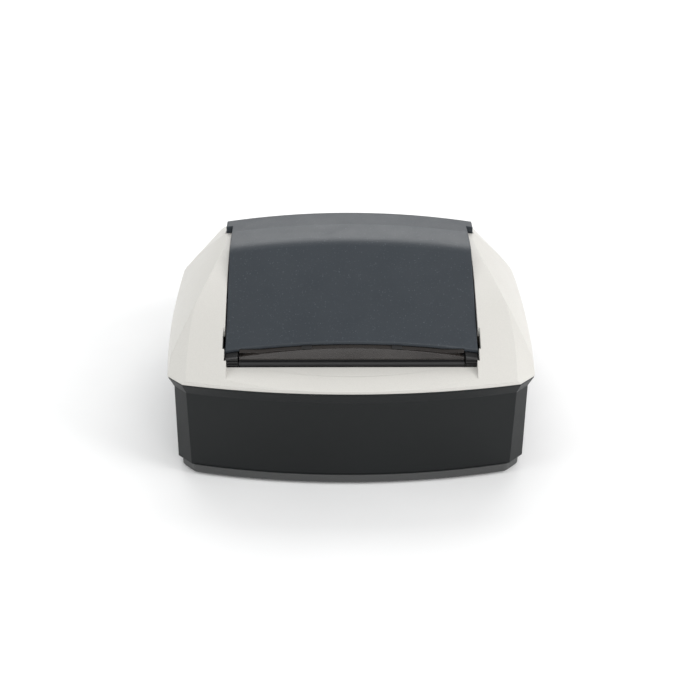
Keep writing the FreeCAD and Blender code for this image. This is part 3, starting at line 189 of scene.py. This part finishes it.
def rubbery(name, colour, rough=0.62, grain_mm=0.5):
    """Matt rubber with a fine grain and a film of pale dust."""
    b = Build(name)
    grain_tex = b.noise(grain_mm, 4.0, 0.65)
    dust = b.noise(5.0, 5.0, 0.6)
    dusty = tuple(min(1, c * 2.6 + 0.02) for c in colour)
    base = b.mix(b.ramp(dust, 0.48, 0.8, 0.0, 0.45), colour, dusty)
    b.link(base, b.shader.inputs["Base Color"])
    b.link(b.ramp(dust, 0.3, 0.7, rough - 0.08, rough + 0.15), b.shader.inputs["Roughness"])
    b.shader.inputs["Sheen Weight"].default_value = 0.08
    normal = b.edges(EDGE_SOFTNESS)[1]
    b.link(b.bump(grain_tex, 0.45, 0.05, normal), b.shader.inputs["Normal"])
    return b.mat


def clear(name, colour, rough, transmission):
    """See-through plastic or glass with faint smudges."""
    b = Build(name)
    smears = b.noise(7.0, 5.0, 0.62)
    fine = b.noise(1.1, 3.0)
    pale = tuple(min(1, c * 1.25) for c in colour)
    tint = b.mix(b.ramp(smears, 0.35, 0.7, 0.0, 1.0), colour, pale)
    b.link(tint, b.shader.inputs["Base Color"])
    b.link(b.ramp(smears, 0.4, 0.75, rough, rough + SMUDGE), b.shader.inputs["Roughness"])
    b.shader.inputs["Transmission Weight"].default_value = transmission
    b.shader.inputs["IOR"].default_value = CLEAR_IOR
    normal = b.edges(EDGE_SOFTNESS)[1]
    b.link(b.bump(fine, 0.06, 0.02, normal), b.shader.inputs["Normal"])
    return b.mat


def board_green(name):
    """Circuit board: solder resist over copper tracks, with tinned pads."""
    b = Build(name)
    tracks = b.add("ShaderNodeTexBrick", offset=0.37, squash=1.6, squash_frequency=3)
    tracks.inputs["Scale"].default_value = 210.0
    tracks.inputs["Mortar Size"].default_value = 0.035
    b.link(b.place, tracks.inputs["Vector"])
    line = b.ramp(tracks.outputs["Fac"], 0.3, 0.7, 0.0, 1.0)
    base = b.mix(line, (0.012, 0.13, 0.05), (0.03, 0.24, 0.10))
    pads = b.add("ShaderNodeTexVoronoi", feature="F1")
    pads.inputs["Scale"].default_value = 300.0
    b.link(b.place, pads.inputs["Vector"])
    pad = b.ramp(pads.outputs["Distance"], 0.20, 0.17, 0.0, 1.0)
    base = b.mix(pad, base, (0.62, 0.60, 0.55))
    b.link(base, b.shader.inputs["Base Color"])
    b.link(b.product(pad, 0.9), b.shader.inputs["Metallic"])
    b.link(b.ramp(b.noise(4.0), 0.3, 0.7, 0.25, 0.4), b.shader.inputs["Roughness"])
    b.link(b.bump(line, 0.4, 0.04), b.shader.inputs["Normal"])
    return b.mat


MATERIALS = {
    "shell": moulded("shell_plastic", srgb(202, 200, 195), 0.46, tone=0.015, grain=0.16,
                     grain_mm=0.30, soft_mm=0.5, wear=srgb(214, 212, 207)),
    "lid": moulded("lid_plastic", srgb(44, 50, 56), 0.42, tone=0.04, grain=0.30, grain_mm=0.30,
                   soft_mm=0.5, wear=srgb(78, 84, 90), fleck=srgb(96, 103, 110)),
    "base": moulded("base_plastic", srgb(18, 21, 22), 0.36, tone=0.06, grain=0.2, grain_mm=0.4,
                    specular=0.28, soft_mm=0.4, wear=srgb(44, 48, 49)),
    "plate": moulded("plate_plastic", srgb(66, 67, 67), 0.50, tone=0.04, grain=0.3,
                     soft_mm=0.4, wear=srgb(100, 101, 100)),
    "black_trim": moulded("trim_plastic", srgb(20, 20, 21), 0.36, tone=0.10, grain=0.2,
                          soft_mm=0.25, wear=srgb(60, 60, 60)),
    "guide": moulded("guide_plastic", srgb(24, 24, 26), 0.34, tone=0.08, grain=0.12,
                     grain_mm=0.6, soft_mm=0.3, wear=srgb(70, 70, 72)),
    "panel": moulded("panel_plastic", srgb(36, 39, 42), 0.30, tone=0.05, grain=0.12,
                     soft_mm=0.3, wear=srgb(80, 84, 88)),
    "key": moulded("key_silicone", srgb(186, 186, 182), 0.55, tone=0.03, grain=0.3,
                   soft_mm=0.35, wear=srgb(160, 158, 152), specular=0.35),
    "nylon": moulded("gear_nylon", srgb(226, 222, 208), 0.42, tone=0.03, grain=0.2, soft_mm=0.15,
                     wear=srgb(196, 188, 168)),
    "chip": moulded("chip_resin", srgb(28, 28, 30), 0.5, tone=0.10, grain=0.5, grain_mm=0.25,
                    soft_mm=0.15, wear=srgb(56, 56, 58)),
    "white": moulded("platen_plastic", srgb(232, 232, 228), 0.28, tone=0.02, grain=0.08,
                     soft_mm=0.2, wear=srgb(214, 212, 204)),
    "cell": moulded("cell_sleeve", srgb(38, 78, 128), 0.26, tone=0.12, grain=0.2, grain_mm=2.5,
                    soft_mm=0.4, wear=srgb(60, 100, 150), coat=0.4),
    "rubber": rubbery("tyre_rubber", srgb(30, 30, 30)),
    "belt": rubbery("belt_rubber", srgb(24, 24, 25), 0.7, 0.9),
    "steel": metal("plated_steel", srgb(196, 197, 196), 0.30, (0.25, 1.0, 5.0)),
    "shaft": metal("ground_steel", srgb(212, 212, 214), 0.16, (6.0, 1.0, 1.0), tone=0.05),
    "brass": metal("turned_brass", srgb(205, 170, 104), 0.24, (5.0, 1.0, 1.0), tone=0.1,
                   stain=srgb(140, 108, 62)),
    "smoked": clear("smoked_plastic", srgb(48, 43, 40), 0.12, 0.45),
    "window": clear("window_glass", srgb(214, 226, 224), 0.04, 0.9),
    "display": clear("display_glass", srgb(96, 110, 96), 0.05, 0.75),
    "board": board_green("circuit_board"),
    "print_dark": moulded("print_ink", srgb(26, 28, 30), 0.5, tone=0.1, soft_mm=0.03,
                          wear=srgb(70, 72, 74)),
    "label_foil": moulded("label_foil", srgb(188, 190, 190), 0.32, tone=0.04, soft_mm=0.05,
                          wear=srgb(210, 210, 208)),
    "lens_green": clear("green_lens", srgb(70, 205, 110), 0.08, 0.6),
    "lens_red": clear("red_lens", srgb(220, 60, 52), 0.08, 0.6),
}
SLOT_OF = {part["node"]: part["material_slot"] for part in frame["record"]["subparts"]}
for name, node in nodes.items():
    node.data.materials.clear()
    node.data.materials.append(MATERIALS[SLOT_OF[name]])


# ---------------------------------------------------------------- printed and small details
# Everything here is in millimetres. The lid's rear slope runs from its crease to its rear edge.
REAR_CREASE = (12.0, 73.2)
REAR_EDGE = (49.2, 52.3)
PANEL_Y = 28.0
PANEL_TILT = math.atan2(REAR_CREASE[1] - REAR_EDGE[1], REAR_EDGE[0] - REAR_CREASE[0])
PANEL_Z = REAR_EDGE[1] + (REAR_EDGE[0] - PANEL_Y) * math.tan(PANEL_TILT)
ON_PANEL = (Matrix.Scale(MM, 4) @ Matrix.Translation((0.0, PANEL_Y, PANEL_Z))
            @ Matrix.Rotation(-PANEL_TILT, 4, "X") @ Matrix.Rotation(math.pi, 4, "Z"))
UNDERNEATH = Matrix.Scale(MM, 4) @ Matrix.Rotation(math.pi, 4, "Y")
KEY_TOP = -1.2            # heights over the plane of the rear slope
PANEL_TOP = -2.3
MODULE_TOP = -3.3
KEY_SPOTS = {"key_1": -8.0, "key_2": -19.0, "key_3": -30.0}
HATCH_SCREW_SPOT = (21.0, -14.8, -0.9)
PLATE_UNDERSIDE = -0.8
MARK_HEIGHT = 0.05
ARC_STEPS = 28
ARC_DRAFT = 0.03
RING_SPAN = (125, 415)    # angles of the broken ring on a key, open at the top
KEY_RING = (1.45, 1.05)   # outer and inner radius of that ring
RULE_W = 0.4              # width of every line on a key
KEY_WEDGE = [(-0.9, -1.3), (1.3, 0.0), (-0.9, 1.3)]
SOCKET_R = 1.06           # hexagon socket of the hatch screw, corner to centre
LAMP_Y = 2.8
SUM_FIGURES = ("150", 11.5, 4.6, 0.6, 5.4)      # figures, first x, pitch, y and height
COUNT_FIGURES = ("03", 26.5, 2.7, -0.6, 3.0)
STATE_MARKS = (5, 10.0, 4.8, -4.2)              # count, first x, pitch and y
STATE_MARK_SIZE = (2.6, 0.5)
FIGURE_HEIGHTS = (0.01, 0.05)                   # over the display module
FIGURE_DRAFT = 0.01
LABEL_OUTLINE = (-41, 17, -7, 33, 1.5)          # two corners and the corner radius
FOIL_T = 0.06
LABEL_RULES = (22, 14, 26, 18, 9)               # lengths of the rules printed on the label
LABEL_RULE_W = 0.7
LABEL_RULE_HEIGHTS = (0.05, 0.08)
RULE_START = (-38.5, 30)
RULE_PITCH = 2.6


def finish_piece(name, work, place, slot_name, body):
    """Turns a drawn shape into a named piece that rides on a body."""
    bmesh.ops.recalc_face_normals(work, faces=work.faces)
    mesh = bpy.data.meshes.new(name)
    work.to_mesh(mesh)
    work.free()
    mesh.transform(place)
    mesh.materials.append(MATERIALS[slot_name])
    piece = bpy.data.objects.new(name, mesh)
    bpy.context.scene.collection.objects.link(piece)
    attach(piece, body)
    return piece


def add_slab(work, outline, low, high, draft=0.04):
    """A thin raised shape with slightly drafted sides, drawn as an outline of (x, y)."""
    mid_x = sum(x for x, _ in outline) / len(outline)
    mid_y = sum(y for _, y in outline) / len(outline)
    rings = []
    for z, shrink in ((low, 0.0), ((low + high) / 2, 0.0), (high, draft)):
        ring = []
        for x, y in outline:
            reach = max(math.hypot(x - mid_x, y - mid_y), 1e-6)
            keep = 1.0 - min(shrink / reach, 0.5)
            ring.append(work.verts.new((mid_x + (x - mid_x) * keep, mid_y + (y - mid_y) * keep, z)))
        rings.append(ring)
    count = len(outline)
    for below, above in zip(rings, rings[1:]):
        for i in range(count):
            j = (i + 1) % count
            work.faces.new((below[i], below[j], above[j], above[i]))
    work.faces.new(rings[-1])
    work.faces.new(list(reversed(rings[0])))


def add_arc(work, outer, inner, low, high, start, end):
    """Part of a raised ring, between two angles."""
    section = ((outer, low), (outer - ARC_DRAFT, high), (inner + ARC_DRAFT, high), (inner, low))
    rows = []
    for i in range(ARC_STEPS + 1):
        turn = math.radians(start + (end - start) * i / ARC_STEPS)
        c, s = math.cos(turn), math.sin(turn)
        rows.append([work.verts.new((r * c, r * s, z)) for r, z in section])
    for a, b in zip(rows, rows[1:]):
        for i in range(4):
            j = (i + 1) % 4
            work.faces.new((a[i], b[i], b[j], a[j]))
    work.faces.new(rows[0])
    work.faces.new(list(reversed(rows[-1])))


def add_turned(work, profile, steps=32, socket=None):
    """Turns a profile of (radius, height) about the upright axis.
    Points below socket in radius follow a hexagon instead of a circle."""
    rows = []
    for radius, z in profile:
        row = []
        for i in range(steps):
            turn = 2 * math.pi * i / steps
            reach = radius
            if socket and radius <= socket:
                offset = (turn % (math.pi / 3)) - math.pi / 6
                reach = radius * math.cos(math.pi / 6) / math.cos(offset)
            row.append(work.verts.new((reach * math.cos(turn), reach * math.sin(turn), z)))
        rows.append(row)
    for a, b in zip(rows, rows[1:]):
        for i in range(steps):
            j = (i + 1) % steps
            work.faces.new((a[i], a[j], b[j], b[i])).smooth = True
    work.faces.new(rows[0])
    work.faces.new(list(reversed(rows[-1])))


def bar(x, y, length, width, upright=False):
    """Outline of a rounded bar about x, y."""
    half = length / 2 - width / 2
    points = []
    for side in (1, -1):
        for i in range(7):
            turn = math.radians(-90 + 30 * i) + (0 if side > 0 else math.pi)
            along = side * half + width / 2 * math.cos(turn)
            across = width / 2 * math.sin(turn)
            points.append((x - across, y + along) if upright else (x + along, y + across))
    return points


def rounded_outline(x0, y0, x1, y1, radius):
    """Outline of a rectangle with round corners."""
    points = []
    for cx, cy, first in ((x1 - radius, y1 - radius, 0), (x0 + radius, y1 - radius, 90),
                          (x0 + radius, y0 + radius, 180), (x1 - radius, y0 + radius, 270)):
        for i in range(5):
            turn = math.radians(first + 22.5 * i)
            points.append((cx + radius * math.cos(turn), cy + radius * math.sin(turn)))
    return points


# Lit bars of each figure that the display shows: a is the top one, then round to f, with g across.
DIGIT_BARS = {"0": "abcdef", "1": "bc", "3": "abgcd", "5": "afgcd"}


def add_digit(work, digit, x, y, height, low, high):
    """One seven-bar figure centred on x, y."""
    half_h = height / 2
    width = height * 0.52
    thick = height * 0.10
    spots = {
        "a": (x, y + half_h, False), "d": (x, y - half_h, False), "g": (x, y, False),
        "b": (x + width / 2, y + half_h / 2, True), "c": (x + width / 2, y - half_h / 2, True),
        "f": (x - width / 2, y + half_h / 2, True), "e": (x - width / 2, y - half_h / 2, True),
    }
    for part in DIGIT_BARS[digit]:
        px, py, upright = spots[part]
        length = (half_h if upright else width) - thick * 0.5
        add_slab(work, bar(px, py, length, thick, upright), low, high, FIGURE_DRAFT)


def make_display_figures():
    """Segments of the display: a sum, a smaller count and a row of state marks."""
    work = bmesh.new()
    low, high = (MODULE_TOP + height for height in FIGURE_HEIGHTS)
    for figures, first_x, pitch, y, height in (SUM_FIGURES, COUNT_FIGURES):
        for i, digit in enumerate(figures):
            add_digit(work, digit, first_x + pitch * i, y, height, low, high)
    count, first_x, pitch, y = STATE_MARKS
    for i in range(count):
        add_slab(work, bar(first_x + pitch * i, y, *STATE_MARK_SIZE), low, high, FIGURE_DRAFT)
    finish_piece("display_figures", work, ON_PANEL, "print_dark", "lid")


def make_key_marks():
    """Moulded signs on the keys: a broken ring, three rules, and a wedge against a bar."""
    low, high = KEY_TOP, KEY_TOP + MARK_HEIGHT
    ring = bmesh.new()
    add_arc(ring, *KEY_RING, low, high, *RING_SPAN)
    add_slab(ring, bar(0, 1.05, 1.7, RULE_W, True), low, high)
    rules = bmesh.new()
    for i in range(3):
        add_slab(rules, bar(0, 0.9 - 0.9 * i, 2.8, RULE_W), low, high)
    wedge = bmesh.new()
    add_slab(wedge, KEY_WEDGE, low, high)
    add_slab(wedge, bar(-1.5, 0, 2.6, RULE_W, True), low, high)
    for key, mark in (("key_1", ring), ("key_2", rules), ("key_3", wedge)):
        spot = ON_PANEL @ Matrix.Translation((KEY_SPOTS[key], 0, 0))
        finish_piece(key + "_mark", mark, spot, "print_dark", key)


def make_lamps():
    """Two small state lamps between the display and the keys, each in a raised collar."""
    dome = [(0.05, 0.62), (0.45, 0.56), (0.8, 0.40), (1.0, 0.15), (1.02, -0.3)]
    collar = [(1.05, -0.3), (1.05, 0.12), (1.2, 0.22), (1.4, 0.18), (1.5, 0.0), (1.5, -0.3)]
    lamps = (("lamp_pass", LAMP_Y, "lens_green"), ("lamp_reject", -LAMP_Y, "lens_red"))
    for name, y, slot_name in lamps:
        spot = ON_PANEL @ Matrix.Translation((0, y, PANEL_TOP))
        lens = bmesh.new()
        add_turned(lens, dome)
        finish_piece(name, lens, spot, slot_name, "lid")
        rim = bmesh.new()
        add_turned(rim, collar)
        finish_piece(name + "_collar", rim, spot, "black_trim", "lid")


def make_hatch_screw():
    """Pan-head screw with a hexagon socket that holds the battery hatch."""
    head = [(0.9, 0.1), (1.05, 0.75), (2.1, 0.70), (2.35, 0.45), (2.4, 0.02), (1.2, 0.0),
            (1.2, -1.0)]
    work = bmesh.new()
    add_turned(work, head, 48, SOCKET_R)
    finish_piece("hatch_screw", work, UNDERNEATH @ Matrix.Translation(HATCH_SCREW_SPOT),
                 "steel", "housing")


def make_rating_label():
    """Blank rating plate: a thin foil with plain rules in place of words."""
    foil = bmesh.new()
    foil_z = PLATE_UNDERSIDE
    add_slab(foil, rounded_outline(*LABEL_OUTLINE), foil_z, foil_z + FOIL_T, 0.02)
    finish_piece("rating_label", foil, UNDERNEATH, "label_foil", "housing")
    rules = bmesh.new()
    start_x, start_y = RULE_START
    low, high = (foil_z + height for height in LABEL_RULE_HEIGHTS)
    for i, length in enumerate(LABEL_RULES):
        outline = bar(start_x + length / 2, start_y - RULE_PITCH * i, length, LABEL_RULE_W)
        add_slab(rules, outline, low, high, FIGURE_DRAFT)
    finish_piece("rating_rules", rules, UNDERNEATH, "print_dark", "housing")


make_display_figures()
make_key_marks()
make_lamps()
make_hatch_screw()
make_rating_label()


# ---------------------------------------------------------------- stage
# Metres from here on. The paper sweep lies flat, then turns up behind the part.
SWEEP_FRONT = -3.0
SWEEP_BEND = 1.6          # where the sweep starts to turn up
SWEEP_RADIUS = 0.8
SWEEP_HEIGHT = 3.0
SWEEP_HALF_WIDTH = 4.0
BEND_STEPS = 12

PART_MIDDLE = (0, 0, 0.04)
WHITE = (1.0, 1.0, 1.0)
# Name, place, size, power and colour of each soft light; all look at the part's middle.
SOFT_LIGHTS = (
    ("back_light", (0.0, 0.85, 0.85), (1.4, 0.8), 9.5, WHITE),
    ("left_light", (-0.95, -0.25, 0.55), (0.7, 0.9), 3.6, (0.97, 1.0, 1.0)),
    ("right_light", (0.95, -0.35, 0.60), (0.6, 0.8), 7.0, WHITE),
    ("front_light", (0.2, -1.2, 0.85), (1.2, 0.5), 4.8, WHITE),
)
WORLD_STRENGTH = 0.55

# The camera, fitted to outline points of the photograph. Angles in degrees, lens in millimetres.
CAMERA_PLACE = (-0.0085, -0.4071, 0.2638)
CAMERA_PITCH = 59.0
CAMERA_TURN = -1.2
CAMERA_ROLL = 0.55
CAMERA_LENS = 61.714
CAMERA_SENSOR = 36.0
CAMERA_SHIFT_X = 0.0014


def make_floor():
    mesh = bpy.data.meshes.new("floor")
    work = bmesh.new()
    profile = [(SWEEP_FRONT, 0.0), (SWEEP_BEND, 0.0)]
    for i in range(1, BEND_STEPS + 1):
        turn = math.radians(90 / BEND_STEPS * i)
        profile.append((SWEEP_BEND + SWEEP_RADIUS * math.sin(turn),
                        SWEEP_RADIUS * (1 - math.cos(turn))))
    profile.append((SWEEP_BEND + SWEEP_RADIUS, SWEEP_HEIGHT))
    rows = [[work.verts.new((x, y, z)) for y, z in profile]
            for x in (-SWEEP_HALF_WIDTH, SWEEP_HALF_WIDTH)]
    for i in range(len(profile) - 1):
        face = work.faces.new((rows[0][i], rows[1][i], rows[1][i + 1], rows[0][i + 1]))
        face.smooth = True
    work.to_mesh(mesh)
    work.free()
    floor = bpy.data.objects.new("floor", mesh)
    bpy.context.scene.collection.objects.link(floor)
    b = Build("paper_sweep")
    tone = b.noise(60.0, 3.0)
    b.link(b.mix(b.ramp(tone, 0.3, 0.7, 0.0, 1.0), (0.86, 0.86, 0.86), (0.89, 0.89, 0.89)),
           b.shader.inputs["Base Color"])
    b.shader.inputs["Roughness"].default_value = 0.9
    b.shader.inputs["Specular IOR Level"].default_value = 0.1
    b.link(b.bump(b.noise(1.5), 0.1, 0.05), b.shader.inputs["Normal"])
    mesh.materials.append(b.mat)


def softbox(name, place, size, power, colour):
    data = bpy.data.lights.new(name, "AREA")
    data.shape = "RECTANGLE"
    data.size, data.size_y = size
    data.energy = power
    data.color = colour
    lamp = bpy.data.objects.new(name, data)
    lamp.location = place
    aim = Vector(PART_MIDDLE) - Vector(place)
    lamp.rotation_euler = aim.to_track_quat("-Z", "Y").to_euler()
    bpy.context.scene.collection.objects.link(lamp)


def make_stage():
    make_floor()
    for light in SOFT_LIGHTS:
        softbox(*light)
    world = bpy.data.worlds.new("studio")
    world.use_nodes = True
    background = world.node_tree.nodes["Background"]
    background.inputs["Color"].default_value = (*WHITE, 1.0)
    background.inputs["Strength"].default_value = WORLD_STRENGTH
    bpy.context.scene.world = world
    bpy.context.scene.view_settings.view_transform = "Standard"


def make_camera():
    data = bpy.data.cameras.new("camera")
    data.sensor_width = CAMERA_SENSOR
    data.lens = CAMERA_LENS
    data.clip_start = 0.01
    data.shift_x = CAMERA_SHIFT_X
    camera = bpy.data.objects.new("camera", data)
    camera.location = CAMERA_PLACE
    camera.rotation_euler = (math.radians(CAMERA_PITCH), 0.0, math.radians(CAMERA_TURN))
    camera.rotation_euler.rotate_axis("Z", math.radians(CAMERA_ROLL))
    bpy.context.scene.collection.objects.link(camera)
    bpy.context.scene.camera = camera


make_stage()
make_camera()
